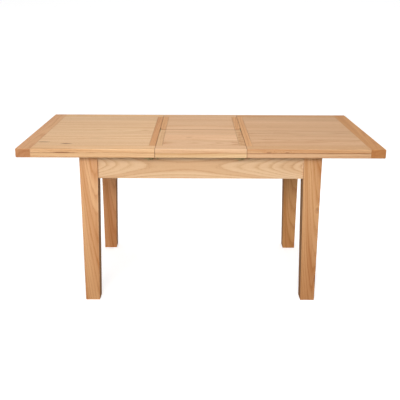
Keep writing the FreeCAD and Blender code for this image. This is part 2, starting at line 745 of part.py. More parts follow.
def link(across):
    """A link plate with its two riveted pins."""
    tag = "right" if across > 0 else "left"
    plate_in = leaf_half - s.strap_deep + s.strap_thick + s.link_play
    plate_x = mirrored(across, plate_in, plate_in + s.strap_thick)
    pin_x = mirrored(across, leaf_half - s.strap_deep + s.pin_inset, plate_in)
    low = (plate_x[0], -pin_y, pin_z - s.eye_radius)
    pieces = [box("link_bar_" + tag, low, (plate_x[1], pin_y, pin_z + s.eye_radius))]
    for end_name, end in (("front", -1), ("back", 1)):
        spot = pin_y * end
        name = "%s_%s" % (tag, end_name)
        start = (plate_x[0], spot, pin_z)
        eye = cylinder("link_eye_" + name, start, s.eye_radius, s.strap_thick, **ALONG_X)
        start = (pin_x[0], spot, pin_z)
        pin = cylinder("link_pin_" + name, start, s.hinge_pin, pin_x[1] - pin_x[0], **ALONG_X)
        pieces = pieces + [eye, pin]
    return fuse("link_" + tag, pieces)


gather("back_leaf_hinge_straps", [strap(1, -1), strap(1, 1)])
gather("front_leaf_hinge_straps", [strap(-1, -1), strap(-1, 1)])
gather("leaf_hinge_links", [link(-1), link(1)])


# ---------------------------------------------------------------- stowing pivot of the leaf

def eared_plate(name, flat, ear_x, web_z):
    """A flat plate with an upright web that ends in an ear, bored for the pivot pin."""
    low = (ear_x[0], s.stow_y - s.ear_radius, web_z[0])
    web = box(name + "_web", low, (ear_x[1], s.stow_y + s.ear_radius, web_z[1]))
    start = (ear_x[0], s.stow_y, s.stow_z)
    eye = cylinder(name + "_eye", start, s.ear_radius, s.plate_thick, **ALONG_X)
    bore = drill(name + "_bore", start, s.stow_pin, s.plate_thick)
    return cut(name, fuse(name + "_solid", [flat, web, eye]), bore)


def pivot_plate(side):
    """A plate under the back leaf half with an ear that hangs on the pivot pin."""
    name = "pivot_plate_%s" % ("right" if side > 0 else "left")
    ear_in = leaf_half - s.plate_inset
    flat_x = mirrored(side, ear_in - s.plate_long, ear_in + s.plate_thick)
    ear_x = mirrored(side, ear_in, ear_in + s.plate_thick)
    low = (flat_x[0], s.stow_y - s.plate_half, underside - s.plate_thick)
    flat = box(name + "_flat", low, (flat_x[1], s.stow_y + s.plate_half, underside))
    return eared_plate(name, flat, ear_x, (s.stow_z, underside))


def pivot_bracket(side):
    """An angle bracket on a cross bearer that holds the outer end of the pivot pin."""
    name = "pivot_bracket_%s" % ("right" if side > 0 else "left")
    face = leaf_half + s.bracket_out
    flat_x = mirrored(side, face, s.bearer_in + s.bearer_width - s.bracket_inset)
    ear_x = mirrored(side, face, face + s.plate_thick)
    low = (flat_x[0], s.stow_y - s.bracket_half, s.bearer_top)
    high = (flat_x[1], s.stow_y + s.bracket_half, s.bearer_top + s.plate_thick)
    flat = box(name + "_flat", low, high)
    return eared_plate(name, flat, ear_x, (s.bearer_top, s.stow_z))


def pivot_pin(side):
    """The headed pin through the bracket and the leaf's plate."""
    name = "stow_pin_%s" % ("right" if side > 0 else "left")
    head_at = leaf_half + s.bracket_out + s.plate_thick + s.head_play
    shank_x = mirrored(side, leaf_half - s.stow_inset, head_at)
    head_x = mirrored(side, head_at, head_at + s.stow_head)
    start = (shank_x[0], s.stow_y, s.stow_z)
    shank = cylinder(name + "_shank", start, s.stow_pin, shank_x[1] - shank_x[0], **ALONG_X)
    start = (head_x[0], s.stow_y, s.stow_z)
    head = cylinder(name + "_head", start, s.stow_pin + s.stow_head, s.stow_head, **ALONG_X)
    return fuse(name, [shank, head])


def rest_block(side):
    """A block on the inside of a cross bearer that the stowed leaf lies on."""
    name = "rest_block_%s" % ("right" if side > 0 else "left")
    low_x, high_x = mirrored(side, s.bearer_in - s.rest_long, s.bearer_in)
    low = (low_x, -s.rest_y - s.rest_half, s.rest_top - s.rest_high)
    return box(name, low, (high_x, -s.rest_y + s.rest_half, s.rest_top))


gather("leaf_pivot_plates", [pivot_plate(-1), pivot_plate(1)])
gather("pivot_brackets", [pivot_bracket(-1), pivot_bracket(1)])
gather("pivot_pins", [pivot_pin(-1), pivot_pin(1)])
gather("leaf_rest_blocks", [rest_block(-1), rest_block(1)])


# ---------------------------------------------------------------- locks

def lock_plate(name, x, y, reach_low, reach_high):
    """A flat lock plate under a strip."""
    low = (x - reach_low, y - s.lock_plate_half, strip_under - s.lock_plate)
    return box(name, low, (x + reach_high, y + s.lock_plate_half, strip_under))


def lock_base(name, x, y):
    """A plate with the headed post that a lever turns on."""
    start = (x, y, strip_under - s.lock_drop)
    head_high = s.lock_drop - s.lever_low - s.lock_play
    plate = lock_plate(name + "_plate", x, y, s.lock_base_long, s.lock_base_short)
    post = cylinder(name + "_post", start, s.lock_post, s.lock_drop - s.lock_plate)
    head = cylinder(name + "_head", start, s.lock_post + s.lock_head, head_high)
    return fuse(name, [plate, post, head])


def keeper(name, x, y):
    """A plate with the post that the lever hooks round."""
    start = (x, y, strip_under - s.lock_drop)
    plate = lock_plate(name + "_plate", x, y, s.keeper_half, s.keeper_half)
    post = cylinder(name + "_post", start, s.keeper_post, s.lock_drop - s.lock_plate)
    return fuse(name, [plate, post])


def lever(label, x, y, end):
    """A swing lever, drawn unlocked along -X; its curved slot leads as it swings inwards."""
    base_z = strip_under - s.lever_low
    top_z = base_z + s.lever_thick
    arm = box("arm_" + label, (x - s.lever_reach, y - s.lever_half, base_z), (x, y + s.lever_half, top_z))
    boss = cylinder("boss_" + label, (x, y, base_z), s.lever_boss, s.lever_thick)
    knob_low = (x - s.knob_at, y, base_z - s.knob_high)
    knob = cylinder("knob_" + label, knob_low, s.knob_radius, s.knob_high + s.lever_thick / 2)
    solid = fuse("lever_solid_" + label, [arm, boss, knob])
    slot = s.keeper_post + s.keeper_play
    through = s.lever_thick + OVERCUT * 2
    below = base_z - OVERCUT
    bore = cylinder("bore_" + label, (x, y, below), s.lock_post + s.pin_play, through)
    seat = cylinder("seat_" + label, (x - s.lock_throw, y, below), slot, through)
    wide = cylinder("sweep_out_" + label, (x, y, below), s.lock_throw + slot, through)
    bind(wide, "Angle", s.lever_mouth)
    place(wide, (x, y, below), 180.0 if end > 0 else 180.0 - s.lever_mouth.value)
    narrow_low = (x, y, below - OVERCUT)
    narrow = cylinder("sweep_in_" + label, narrow_low, s.lock_throw - slot, through + OVERCUT * 2)
    sweep = cut("sweep_" + label, wide, narrow)
    gather(label, [cut("lever_" + label, solid, fuse("lever_cuts_" + label, [bore, seat, sweep]))])


joints = (("left_joint", -leaf_half - s.lock_pivot), ("right_joint", leaf_half - s.lock_pivot))
bases = {}
keepers = {}
for joint_name, pivot_x in joints:
    for end_name, end in (("front", -1), ("back", 1)):
        lock_name = "%s_%s" % (joint_name, end_name)
        line_y = s.lock_y * end
        bases[joint_name, end_name] = lock_base("base_" + lock_name, pivot_x, line_y)
        keepers[joint_name, end_name] = keeper("keeper_" + lock_name, pivot_x + s.lock_throw, line_y)
        lever("%s_lock_lever" % lock_name, pivot_x, line_y, end)

gather("left_top_lock_bases", [bases["left_joint", "front"], bases["left_joint", "back"]])
gather("front_leaf_lock_base", [bases["right_joint", "front"]])
gather("back_leaf_lock_base", [bases["right_joint", "back"]])
gather("front_leaf_keeper", [keepers["left_joint", "front"]])
gather("back_leaf_keeper", [keepers["left_joint", "back"]])
gather("right_top_keepers", [keepers["right_joint", "front"], keepers["right_joint", "back"]])


# ---------------------------------------------------------------- check and export

doc.recompute()
for item in doc.Objects:
    if "Invalid" in item.State or "Error" in item.State:
        raise RuntimeError("%s failed: %s" % (item.Name, item.State))
for item in nodes:
    if item.Shape.isNull() or not item.Shape.isValid():
        raise RuntimeError("%s has no valid shape" % item.Label)

os.makedirs("parts", exist_ok=True)
for item in nodes:
    item.Shape.exportStep(os.path.join("parts", "%s.step" % item.Label))
    print("%-32s %2d solids %12.1f mm3" % (item.Label, len(item.Shape.Solids), item.Shape.Volume))
print(len(nodes), "nodes")
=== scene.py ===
import math
import random

import bpy
from mathutils import Matrix, Vector


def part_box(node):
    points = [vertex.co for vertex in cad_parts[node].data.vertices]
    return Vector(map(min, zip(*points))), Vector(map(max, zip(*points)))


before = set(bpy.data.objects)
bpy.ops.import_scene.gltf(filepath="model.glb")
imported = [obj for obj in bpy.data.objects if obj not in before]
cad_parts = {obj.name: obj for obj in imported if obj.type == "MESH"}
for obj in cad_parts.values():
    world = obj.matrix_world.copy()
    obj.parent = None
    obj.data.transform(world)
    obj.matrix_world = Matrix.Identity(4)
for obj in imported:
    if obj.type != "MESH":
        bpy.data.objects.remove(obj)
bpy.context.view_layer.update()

# ---------------------------------------------------------------- camera
SENSOR_MM, LENS_MM = 36.0, 59.78
CAMERA_AT = Vector((-0.0160, -3.4046, 1.4496))
PITCH, YAW, ROLL = math.radians(17.154), math.radians(0.252), math.radians(0.250)


def make_camera():
    """The photograph's camera: looking down by PITCH, turned by YAW and tipped by ROLL."""
    ahead = Vector((math.sin(YAW) * math.cos(PITCH), math.cos(YAW) * math.cos(PITCH), -math.sin(PITCH)))
    level = Vector((math.cos(YAW), -math.sin(YAW), 0.0))
    upright = level.cross(ahead)
    right = level * math.cos(ROLL) + upright * math.sin(ROLL)
    up = upright * math.cos(ROLL) - level * math.sin(ROLL)
    data = bpy.data.cameras.new("photo_camera")
    data.sensor_width = SENSOR_MM
    data.lens = LENS_MM
    data.clip_end = 200.0
    camera = bpy.data.objects.new("photo_camera", data)
    turn = Matrix((right, up, -ahead)).transposed()
    camera.matrix_world = Matrix.Translation(CAMERA_AT) @ turn.to_4x4()
    bpy.context.scene.collection.objects.link(camera)
    bpy.context.scene.camera = camera


# ---------------------------------------------------------------- shader helpers
class Tree:
    """Adds nodes to one material's tree. Numbers set a socket, and sockets are linked to it."""

    def __init__(self, name):
        self.material = bpy.data.materials.new(name)
        self.material.use_nodes = True
        self.tree = self.material.node_tree
        self.shader = self.tree.nodes["Principled BSDF"]

    def node(self, kind, **settings):
        made = self.tree.nodes.new(kind)
        for key, value in settings.items():
            setattr(made, key, value)
        return made

    def put(self, socket, value):
        if isinstance(value, bpy.types.NodeSocket):
            self.tree.links.new(value, socket)
        elif isinstance(value, (tuple, list, Vector)) and socket.type == "RGBA":
            socket.default_value = (*value[:3], 1.0)
        else:
            socket.default_value = value

    def math(self, operation, *values, clamp=False):
        made = self.node("ShaderNodeMath", operation=operation, use_clamp=clamp)
        for socket, value in zip(made.inputs, values):
            self.put(socket, value)
        return made.outputs[0]

    def vector(self, operation, *values):
        made = self.node("ShaderNodeVectorMath", operation=operation)
        for socket, value in zip(made.inputs, values):
            self.put(socket, value)
        return made.outputs["Value" if operation in ("LENGTH", "DOT_PRODUCT") else "Vector"]

    def step(self, value, low, high, to_low=0.0, to_high=1.0):
        """value taken smoothly from low..high to to_low..to_high."""
        made = self.node("ShaderNodeMapRange", interpolation_type="SMOOTHSTEP")
        for socket, number in zip(made.inputs, (value, low, high, to_low, to_high)):
            self.put(socket, number)
        return made.outputs["Result"]

    def noise(self, at, scales, detail=2.0, rough=0.5, colour=False):
        made = self.node("ShaderNodeTexNoise")
        self.put(made.inputs["Vector"], self.vector("MULTIPLY", at, scales))
        self.put(made.inputs["Scale"], 1.0)
        self.put(made.inputs["Detail"], detail)
        self.put(made.inputs["Roughness"], rough)
        return made.outputs["Color" if colour else "Fac"]

    def white(self, value):
        made = self.node("ShaderNodeTexWhiteNoise", noise_dimensions="1D")
        self.put(made.inputs["W"], value)
        return made

    def mix(self, share, a, b, mode="MIX"):
        made = self.node("ShaderNodeMix", data_type="RGBA", blend_type=mode)
        self.put(made.inputs["Factor"], share)
        self.put(made.inputs["A"], a)
        self.put(made.inputs["B"], b)
        return made.outputs["Result"]

    def relief(self, height, strength, depth):
        """Bumps on the shader, depth metres for each unit of height."""
        made = self.node("ShaderNodeBump")
        self.put(made.inputs["Strength"], strength)
        self.put(made.inputs["Distance"], depth)
        self.put(made.inputs["Height"], height)
        self.put(self.shader.inputs["Normal"], made.outputs[0])

    def ramp(self, value, stops):
        made = self.node("ShaderNodeValToRGB")
        points = made.color_ramp.elements
        while len(points) < len(stops):
            points.new(0.5)
        for point, (where, grey) in zip(points, stops):
            point.position = where
            point.color = (grey, grey, grey, 1.0)
        self.put(made.inputs["Fac"], value)
        return made.outputs["Color"]


def linear(srgb):
    """An sRGB colour of 0 to 255 as linear light."""
    parts = [value / 255 for value in srgb]
    return tuple(c / 12.92 if c <= 0.04045 else ((c + 0.055) / 1.055) ** 2.4 for c in parts)


def scaled(colour, factors):
    return tuple(min(1.0, c * f) for c, f in zip(colour, factors))


# ---------------------------------------------------------------- wood
AXES = {"X": (0, 1, 2), "Y": (1, 0, 2), "Z": (2, 0, 1)}
HALF = (0.5, 0.5, 0.5)
SATIN = 0.16  # specular level

WOOD_RELIEF = (0.35, 0.0004)  # strength, and metres for each unit of height
ARRIS_NEAR, ARRIS_FAR = 0.0004, 0.0022

# noise scales per metre: along the grain, across it and in depth
SLOW_BEND, QUICK_BEND, KNOT_EDGE = (0.8, 4.5, 4.5), (3.2, 26.0, 26.0), (40.0, 160.0, 160.0)
STREAKS, FIBRES, FLECKS = (1.5, 85.0, 85.0), (6.0, 430.0, 430.0), (28.0, 900.0, 700.0)
PORES, SCUFFS, CLOUDS = (60.0, 2100.0, 2100.0), (9.0, 60.0, 60.0), (38.0, 34.0, 34.0)
DRIFT, PATCHES, ARRIS_BREAKS = (0.9, 3.0, 3.0), (5.0, 5.0, 5.0), (45.0, 45.0, 45.0)

# the first six are factors of a piece's own colour, the next two of the shade so far
PALE_TONE = (1.13, 1.15, 1.18)
DEEP_TONE = (0.82, 0.62, 0.46)
PORE_TONE = (0.58, 0.38, 0.25)
# painted shade: the tone that joints, the leaf's split and the wood under the top darken to
PAINTED_SHADE_TONE = (0.34, 0.19, 0.11)
# painted highlight: the tone of the paler line in front of the leaf's split
PAINTED_HIGHLIGHT_TONE = (1.25, 1.27, 1.30)
# painted shade: the tone the arrises darken to
ARRIS_SHADE_TONE = (0.52, 0.40, 0.30)
DRIFT_TONE = (0.90, 0.84, 0.78)
END_TONE = (0.79, 0.69, 0.62)
KNOT_BROWN = (0.24, 0.10, 0.045)


class Board(Tree):
    """The wood material of one CAD node, in its own space: along the grain, across it and in depth."""

    def __init__(self, node, grain, colour, seed, staves):
        super().__init__("wood_" + node)
        self.node_name, self.grain, self.colour, self.seed = node, grain, colour, seed
        low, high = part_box(node)
        self.centre = (low + high) / 2
        self.order = AXES[grain]
        self.half = [(high - low)[i] / 2 for i in self.order]
        self.coordinates = self.node("ShaderNodeTexCoord")
        self.where = self.parted(self.coordinates.outputs["Object"])
        seat = self.parted(self.vector("SUBTRACT", self.coordinates.outputs["Object"], self.centre))
        self.seat = [seat[i] for i in self.order]
        joined = self.node("ShaderNodeCombineXYZ")
        for socket, value in zip(joined.inputs, self.seat):
            self.put(socket, value)
        self.plain = self.at = joined.outputs[0]
        self.stave_tone = None
        if staves:
            self.cut_staves(staves)
        rng = random.Random(seed)
        offset = Vector((rng.uniform(-40, 40), rng.uniform(-4, 4), rng.uniform(-4, 4)))
        self.noisy = self.vector("ADD", self.at, offset)

    def parted(self, vector):
        made = self.node("ShaderNodeSeparateXYZ")
        self.put(made.inputs[0], vector)
        return made.outputs

    def cut_staves(self, staves):
        """Strips side by side, each sawn from somewhere else and with a tone of its own."""
        wide = 2 * self.half[1] / staves
        stave = self.math("FLOOR", self.math("DIVIDE", self.math("ADD", self.seat[1], self.half[1]), wide))
        pick = self.white(self.math("ADD", stave, self.seed * 7.31))
        shift = self.vector("MULTIPLY", pick.outputs["Color"], (9.0, 0.22, 0.05))
        self.at = self.vector("ADD", self.at, shift)
        self.stave_tone = self.math("MULTIPLY_ADD", pick.outputs["Value"], 0.10, 0.95)

    def wander(self, scales, detail):
        """A random vector about zero."""
        return self.vector("SUBTRACT", self.noise(self.noisy, scales, detail, colour=True), HALF)

    def pith_distance(self, pith, tilt, bow):
        """How far a point is from the pith line, with slow and quick bends in the rings."""
        slow = self.vector("MULTIPLY", self.wander(SLOW_BEND, 1.0), (0.0, 0.05, 0.05))
        quick = self.vector("MULTIPLY", self.wander(QUICK_BEND, 2.0), (0.0, 0.006, 0.006))
        along, across, deep = self.parted(self.vector("ADD", self.vector("ADD", self.at, slow), quick))
        side = self.math("SUBTRACT", self.math("MULTIPLY_ADD", along, tilt[0], across), pith[0])
        if bow:
            side = self.math("MULTIPLY_ADD", self.math("MULTIPLY", self.seat[0], self.seat[0]), bow, side)
        depth = self.math("SUBTRACT", self.math("MULTIPLY_ADD", along, tilt[1], deep), pith[1])
        squares = self.math("ADD", self.math("MULTIPLY", side, side), self.math("MULTIPLY", depth, depth))
        return self.math("SQRT", squares)

    def round_knots(self, radius, knots):
        """The pith distance swept round each knot, and how much of a knot a point is in."""
        mask = None
        for place, reach, strength in knots:
            offset = Vector(place) - self.centre
            place = [offset[i] for i in self.order]
            away = self.vector("DIVIDE", self.vector("SUBTRACT", self.plain, place), reach)
            ragged = self.vector("MULTIPLY", self.wander(KNOT_EDGE, 2.0), (1.1, 1.1, 1.1))
            distance = self.vector("LENGTH", self.vector("ADD", away, ragged))
            near = self.step(distance, 0.35, 1.1, strength, 0.0)
            radius = self.math("ADD", radius, self.step(distance, 0.0, 3.0, reach[1] * 0.8, 0.0))
            mask = near if mask is None else self.math("MAXIMUM", mask, near)
        return radius, mask

    def year_rings(self, years):
        """Early wood as a mask, the rings with each year's own strength, and broad bands of years."""
        early = self.ramp(self.math("FRACT", years),
                          [(0.0, 0.9), (0.10, 1.0), (0.30, 0.42), (0.48, 0.12), (0.85, 0.04), (0.97, 0.30)])
        year = self.white(self.math("ADD", self.math("FLOOR", years), self.seed * 1.7))
        rings = self.math("MULTIPLY", early, self.math("MULTIPLY_ADD", year.outputs["Value"], 0.7, 0.5))
        bands = self.node("ShaderNodeTexNoise", noise_dimensions="1D")
        self.put(bands.inputs["W"], self.math("MULTIPLY_ADD", years, 0.28, self.seed * 3.1))
        self.put(bands.inputs["Scale"], 1.0)
        self.put(bands.inputs["Detail"], 1.0)
        return early, rings, bands.outputs["Fac"]

    def darkness(self, rings, bands, fibres, figure, streaky, mottle):
        """How far the figure goes from the pale tone to the deep one."""
        streaks = self.noise(self.noisy, STREAKS, 2.0)
        flecks = self.step(self.noise(self.noisy, FLECKS, 0.0), 0.62, 0.74)
        dark = self.math("MULTIPLY", rings, 0.34 * figure)
        dark = self.math("MULTIPLY_ADD", self.step(bands, 0.40, 0.72), 0.34 * figure, dark)
        dark = self.math("MULTIPLY_ADD", self.step(streaks, 0.40, 0.78), streaky, dark)
        dark = self.math("MULTIPLY_ADD", fibres, 0.16, dark)
        dark = self.math("MULTIPLY_ADD", flecks, 0.10, dark)
        if mottle:
            cloudy = self.step(self.noise(self.noisy, CLOUDS, 2.0), 0.42, 0.70)
            dark = self.math("MULTIPLY_ADD", cloudy, mottle, dark)
        return self.math("SUBTRACT", dark, 0.10, clamp=True)

    def tone(self, factors):
        return scaled(self.colour, factors)

    def drifted(self, shade):
        """Slow changes of tone along the board, and each stave's own tone."""
        drift = self.noise(self.noisy, DRIFT, 1.0)
        shade = self.mix(self.step(drift, 0.3, 0.7, 0.0, 0.5), shade, DRIFT_TONE, "MULTIPLY")
        if self.stave_tone is None:
            return shade
        grey = self.node("ShaderNodeCombineColor")
        for socket in grey.inputs:
            self.put(socket, self.stave_tone)
        return self.mix(1.0, shade, grey.outputs[0], "MULTIPLY")

    def lined(self, shade, lines):
        """Painted shade along the joints, the leaf's split and under the top,
        and a paler painted highlight where the strength is negative.
        """
        for axis, place, reach, strength in lines:
            away = self.math("ABSOLUTE", self.math("SUBTRACT", self.where[axis], place))
            patchy = self.step(self.noise(self.noisy, PATCHES, 2.0), 0.35, 0.65, 0.65, 1.0)
            line = self.step(away, reach * 0.4, reach, abs(strength), 0.0)
            tone = self.tone(PAINTED_SHADE_TONE if strength > 0 else PAINTED_HIGHLIGHT_TONE)
            shade = self.mix(self.math("MULTIPLY", line, patchy), shade, tone)
        return shade

    def end_grain(self, shade):
        facing = self.parted(self.coordinates.outputs["Normal"])["XYZ".index(self.grain)]
        end_on = self.step(self.math("ABSOLUTE", facing), 0.75, 0.95)
        return self.mix(end_on, shade, END_TONE, "MULTIPLY")

    def arris_wear_and_shade(self):
        """A mask for the arrises, which are made smoother and, as painted shade, darker:
        close to the second nearest side of the piece, broken up by noise.
        """
        gaps = []
        for value, size in zip(self.seat, self.half):
            gaps.append(self.math("SUBTRACT", size, self.math("ABSOLUTE", value)))
        least = self.math("MINIMUM", gaps[0], gaps[1])
        most = self.math("MAXIMUM", gaps[0], gaps[1])
        second = self.math("MINIMUM", most, self.math("MAXIMUM", least, gaps[2]))
        breaks = self.noise(self.noisy, ARRIS_BREAKS, 3.0)
        return self.math("MULTIPLY", self.step(second, ARRIS_NEAR, ARRIS_FAR, 1.0, 0.0),
                         self.step(breaks, 0.30, 0.60, 0.35, 1.0))

    def surface(self, shade, early, open_pore, fibres, edge, pores, rough):
        """Satin, rougher in the pores and smoother on the arrises, with pores and fibres in relief."""
        scuffs = self.noise(self.noisy, SCUFFS, 3.0, 0.65)
        roughness = self.math("MULTIPLY_ADD", scuffs, 0.16, rough - 0.08)
        roughness = self.math("MULTIPLY_ADD", open_pore, 0.22, roughness)
        roughness = self.math("SUBTRACT", roughness, self.math("MULTIPLY", edge, 0.06))
        height = self.math("MULTIPLY_ADD", open_pore, -0.8 * pores, self.math("MULTIPLY", fibres, 0.22))
        self.relief(self.math("MULTIPLY_ADD", early, -0.10, height), *WOOD_RELIEF)
        self.put(self.shader.inputs["Base Color"], shade)
        self.put(self.shader.inputs["Roughness"], roughness)
        self.shader.inputs["Specular IOR Level"].default_value = SATIN
        dress(self.node_name, self.material)


def wood(node, grain, colour, seed, pith=(0.03, -0.11), ring=0.0045, tilt=(0.006, 0.02), bow=0.0,
         figure=1.0, streaky=0.26, pores=1.0, rough=0.52, staves=0, knots=(), lines=(), mottle=0.0,
         arris=0.0, foot=None):
    """Oak for one CAD node: year rings round a pith line, so that faces show cathedral grain and ends show
    arcs, with pores, fibres, tone drift, staves, knots, painted shade along joints and under the top, end
    grain, and arrises worn smoother and darkened as painted shade.

    A knot is (place, reach along and across the grain and in depth, strength). A line is (axis, place,
    reach, strength): painted shade, and a paler painted highlight where its strength is negative. foot is
    the tone that a leg's low end darkens to, a painted shade for less light lower down."""
    board = Board(node, grain, colour, seed, staves)
    radius, knot_mask = board.round_knots(board.pith_distance(pith, tilt, bow), knots)
    early, rings, bands = board.year_rings(board.math("DIVIDE", radius, ring))
    fibres = board.noise(board.noisy, FIBRES, 3.0, 0.6)
    pore_noise = board.noise(board.noisy, PORES, 1.0)
    open_pore = board.math("MULTIPLY", board.step(pore_noise, 0.53, 0.66),
                           board.math("MULTIPLY_ADD", early, 0.85, 0.15))
    edge = board.arris_wear_and_shade()

    dark = board.darkness(rings, bands, fibres, figure, streaky, mottle)
    shade = board.drifted(board.mix(dark, board.tone(PALE_TONE), board.tone(DEEP_TONE)))
    shade = board.mix(board.math("MULTIPLY", open_pore, 0.62 * pores), shade, board.tone(PORE_TONE))
    if knot_mask is not None:
        shade = board.mix(knot_mask, shade, KNOT_BROWN)
    shade = board.end_grain(board.lined(shade, lines))
    # painted shade: the leg darker towards its foot, where less light falls
    if foot:
        low_end = board.step(board.seat[0], -board.half[0], board.half[0] * 0.75, 1.0, 0.0)
        shade = board.mix(low_end, shade, foot, "MULTIPLY")
    # painted shade: the arrises darker, as if shaded on their rounded edges
    if arris:
        shade = board.mix(board.math("MULTIPLY", edge, arris), shade, board.tone(ARRIS_SHADE_TONE))
    board.surface(shade, early, open_pore, fibres, edge, pores, rough)


# ---------------------------------------------------------------- metal
METAL_RELIEF = (0.3, 0.0001)  # strength, and metres for each unit of height

# noise scales per metre along X, Y and Z
BLOTCHES, GRIME = (55.0, 55.0, 55.0), (260.0, 260.0, 260.0)
DRAWN_LINES, SCRATCHES = (30.0, 30.0, 900.0), (1400.0, 90.0, 500.0)


def metal(node, colour, tarnish, rough, seed):
    """Brass or plated steel for one CAD node: worn metal with tarnish, drawn lines and small scratches."""
    t = Tree("metal_" + node)
    rng = random.Random(seed)
    offset = Vector([rng.uniform(-9, 9) for _ in range(3)])
    at = t.vector("ADD", t.node("ShaderNodeTexCoord").outputs["Object"], offset)
    blotch = t.step(t.noise(at, BLOTCHES, 4.0, 0.6), 0.38, 0.66)
    grime = t.step(t.noise(at, GRIME, 2.0), 0.50, 0.72)
    drawn = t.noise(at, DRAWN_LINES, 2.0)
    scratch = t.step(t.noise(at, SCRATCHES, 0.0), 0.66, 0.72)
    shade = t.mix(blotch, colour, tarnish)
    shade = t.mix(t.math("MULTIPLY", grime, 0.35), shade, scaled(tarnish, (0.5, 0.48, 0.42)))
    shade = t.mix(t.math("MULTIPLY", scratch, 0.4), shade, scaled(colour, (1.25, 1.25, 1.25)))
    roughness = t.math("MULTIPLY_ADD", blotch, 0.18, t.math("MULTIPLY_ADD", drawn, 0.14, rough - 0.07))
    t.relief(t.math("SUBTRACT", drawn, scratch), *METAL_RELIEF)
    t.put(t.shader.inputs["Base Color"], shade)
    t.put(t.shader.inputs["Roughness"], roughness)
    t.shader.inputs["Metallic"].default_value = 1.0
    dress(node, t.material)


def dress(node, material):
    """Puts one material in a CAD node's slots."""
    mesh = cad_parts[node].data
    mesh.materials.clear()
    mesh.materials.append(material)


# ---------------------------------------------------------------- the table's pieces
LIGHT_ON_TOP = 1.15  # the light taken to fall on the top, against a white of 1
X, Y, Z = 0, 1, 2


def albedo(piece):
    """A piece's colour as linear light, divided by the light taken to fall on the top."""
    return scaled(linear(COLOURS[piece]), (1 / LIGHT_ON_TOP,) * 3)


def low_side(node, axis):
    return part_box(node)[0][axis]


def high_side(node, axis):
    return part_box(node)[1][axis]


def pair(axis, place, reach, strength):
    """The same line on both sides of the middle."""
    return ((axis, -place, reach, strength), (axis, place, reach, strength))


# sRGB. A comparison script set these from mean colours of the photograph and of a render. They were then
# rounded to steps of 5, except three, which were changed, and "hidden" was chosen.
COLOURS = {
    "left_top_panel": (225, 188, 146),
    "left_top_rail": (225, 185, 140),
    "left_top_strip": (220, 180, 135),
    "left_top_inner_band": (205, 150, 100),
    "left_top_end_board": (210, 160, 115),
    "right_top_panel": (215, 175, 135),
    "right_top_rail": (210, 165, 120),
    "right_top_strip": (215, 175, 135),
    "right_top_inner_band": (215, 165, 115),
    "right_top_end_board": (205, 150, 95),
    "front_leaf_panel": (225, 185, 145),
    "front_leaf_rail": (220, 180, 140),
    "front_leaf_strip": (220, 185, 140),
    "front_leaf_band": (215, 175, 130),
    "back_leaf_panel": (220, 180, 140),
    "back_leaf_rail": (220, 180, 140),
    "back_leaf_strip": (220, 185, 140),
    "back_leaf_band": (215, 165, 115),
    "apron": (225, 190, 150),
    "leg_front_left": (225, 178, 132),
    "leg_front_right": (215, 168, 120),
    "leg_back_left": (230, 170, 120),
    "leg_back_right": (230, 175, 120),
    "hidden": (215, 185, 145),
}
# painted shade: the tones that legs darken to towards the feet, where less light falls; the front right
# leg's is darker
FOOT, DARK_FOOT = (0.88, 0.80, 0.70), (0.80, 0.67, 0.57)

# where the joints lie
LEAF_END = (low_side("right_top_inner_band", X) + high_side("front_leaf_right_band", X)) / 2
LEAF_BAND = low_side("front_leaf_right_band", X)
TOP_BAND = high_side("right_top_inner_band", X)
END_BOARD = low_side("right_top_end_board", X)
RAIL_BACK = low_side("right_top_back_rail", Y)
STRIP_TOP = high_side("front_leaf_strip", Z)
STRIP_FOOT = low_side("front_leaf_strip", Z)
FRONT_EDGE = low_side("front_leaf_strip", Y)
TOP = high_side("front_leaf_panel", Z)

# painted shade along them and under the top, and a painted highlight beside the leaf's split
SEAM = ((Z, STRIP_TOP, 0.0022, 0.35),)
STRONG_SEAM = ((Z, STRIP_TOP, 0.0028, 0.60),)
LEAF_JOINTS = pair(X, LEAF_END, 0.0022, 0.5)
BORDER = pair(Y, RAIL_BACK, 0.002, 0.4)
TOP_EDGES = pair(X, TOP_BAND, 0.0018, 0.4) + pair(X, END_BOARD, 0.0018, 0.4)
LEAF_EDGES = pair(X, LEAF_BAND, 0.0018, 0.55)
# painted shade: aprons and legs darker just under the top, where its overhang shades them
UNDER_TOP = ((Z, STRIP_FOOT, 0.050, 0.17),)
# painted shade in the leaf's split, and a painted highlight on the front half's arris just in front of it
FRONT_SPLIT = ((Y, 0.0, 0.0085, 0.9), (Y, -0.018, 0.009, -0.7))
# painted shade in the split, and a broader, fainter painted shade round it on the back half
BACK_SPLIT = ((Y, 0.0, 0.0060, 0.9), (Y, 0.0, 0.045, 0.16))

# knots and streaks, each at a place of its own
LEFT_KNOTS = (
    ((-0.745, -0.306, TOP), (0.034, 0.009, 0.01), 1.0),
    ((-0.632, -0.342, TOP), (0.030, 0.012, 0.01), 1.0),
    ((-0.514, -0.214, TOP), (0.045, 0.016, 0.01), 0.16),
)
RIGHT_KNOTS = (
    ((0.412, 0.080, TOP), (0.08, 0.007, 0.01), 0.22),
    ((0.502, -0.134, TOP), (0.05, 0.006, 0.01), 0.28),
)
LEAF_KNOT = (((-0.056, -0.197, TOP), (0.022, 0.010, 0.01), 0.25),)
BACK_STREAK = (((-0.703, 0.443, TOP), (0.045, 0.010, 0.01), 0.45),)
EDGE_STREAK = (((-0.63, FRONT_EDGE, STRIP_TOP + 0.002), (0.060, 0.010, 0.0045), 0.7),)
EDGE_SPOTS = tuple(
    ((x, FRONT_EDGE, STRIP_TOP + 0.0035), (0.016, 0.02, 0.004), 0.55) for x in (0.310, 0.392)
)
LEG_FACE = low_side("leg_front_right", Y)
LEG_KNOTS = (
    ((0.558, LEG_FACE, 0.472), (0.012, 0.006, 0.05), 0.5),
    ((0.564, LEG_FACE, 0.114), (0.035, 0.005, 0.05), 0.5),
)


